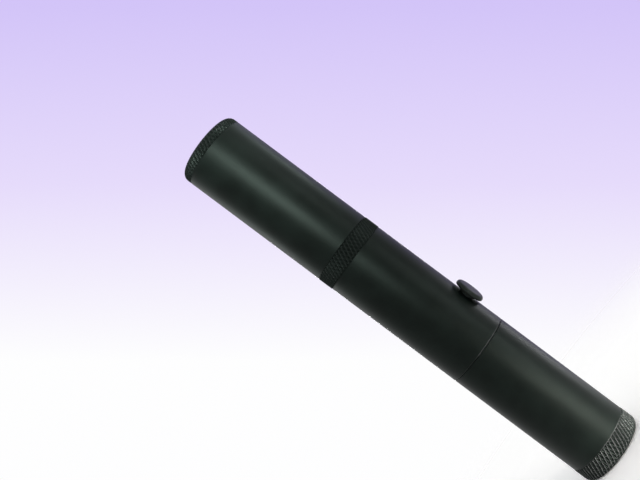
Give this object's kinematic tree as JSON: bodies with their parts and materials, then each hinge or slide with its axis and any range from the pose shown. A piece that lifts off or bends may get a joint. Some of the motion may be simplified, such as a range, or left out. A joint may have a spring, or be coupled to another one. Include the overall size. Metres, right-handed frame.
{
  "type": "laser pointer",
  "caption": "Hand-held laser pointer: round black tube in screwed lengths with knurled rings, a side push button, an unscrewing tail cap, one cell and a green laser module.",
  "frame": {"origin": "centre of the tail cap's flat end, on which the pointer stands", "axes": "+Z along the tube's axis to the beam exit, +X through the push button, +Y completes a right-handed frame"},
  "size_m": [0.0245, 0.0222, 0.1454],
  "materials": {
    "anodised_aluminium": "black anodised, satin",
    "anodised_knurl": "black anodised over a diamond knurl, worn a little brighter on the crests",
    "button_black": "black anodised, satin",
    "brass": "turned",
    "copper": "turned",
    "plated_steel": "nickel plated",
    "spring_wire": "plated spring wire",
    "seal_rubber": "smooth nitrile",
    "cell_sleeve": "shrink sleeve",
    "insulator": "turned acetal",
    "circuit_board": "solder mask",
    "chip_plastic": "moulded",
    "trimmer_blue": "moulded",
    "ceramic": "fired",
    "optical_glass": "coated",
    "filter_glass": "absorbing filter",
    "crystal": "polished"
  },
  "bodies": {
    "tail_cap": {"tail_cap": "anodised_knurl", "tail_o_ring": "seal_rubber", "tail_contact_disc": "plated_steel", "tail_spring": "spring_wire"},
    "cell": {"battery_cell": "cell_sleeve"},
    "housing": {"battery_tube": "anodised_aluminium", "contact_sleeve": "insulator", "positive_spring": "spring_wire", "contact_board": "circuit_board", "switch_body": "anodised_aluminium", "switch_case": "chip_plastic", "switch_cover": "plated_steel", "driver_board": "circuit_board", "driver_ic": "chip_plastic", "current_trimmer": "trimmer_blue", "chip_resistors": "chip_plastic", "chip_capacitors": "ceramic", "pump_diode": "plated_steel", "diode_holder": "copper", "module_barrel": "brass", "crystal_holder": "copper", "laser_crystal": "crystal", "doubling_crystal": "crystal", "infrared_filter": "filter_glass", "expander_lens": "optical_glass", "optics_retainer": "brass", "lens_tube": "brass", "lens_cell_spring": "spring_wire", "lens_cell": "brass", "collimating_lens": "optical_glass", "lens_retainer": "brass", "centre_ring": "anodised_knurl", "front_barrel": "anodised_aluminium", "front_bezel": "anodised_knurl", "aperture_window": "optical_glass", "window_retainer": "brass"},
    "button": {"push_button": "button_black", "button_clip": "plated_steel", "switch_plunger": "chip_plastic"}
  },
  "joints": [
    {"name": "cell_rise", "type": "slide", "parent": "tail_cap", "child": "cell", "axis": [0, 0, 1], "range_m": [0, 0.005]},
    {"name": "tail_cap_screw", "type": "hinge", "parent": "cell", "child": "housing", "pos_m": [0, 0, 0], "axis": [0, 0, 1], "range_deg": [0, 1800]},
    {"name": "button_press", "type": "slide", "parent": "housing", "child": "button", "axis": [-1, 0, 0], "range_m": [0, 0.0005], "stiffness_N_per_m": 1500, "springref_m": -0.0008}
  ],
  "couplings": [
    {"joint": "tail_cap_screw", "follows": "cell_rise", "rad_per_m": 6283.2}
  ]
}
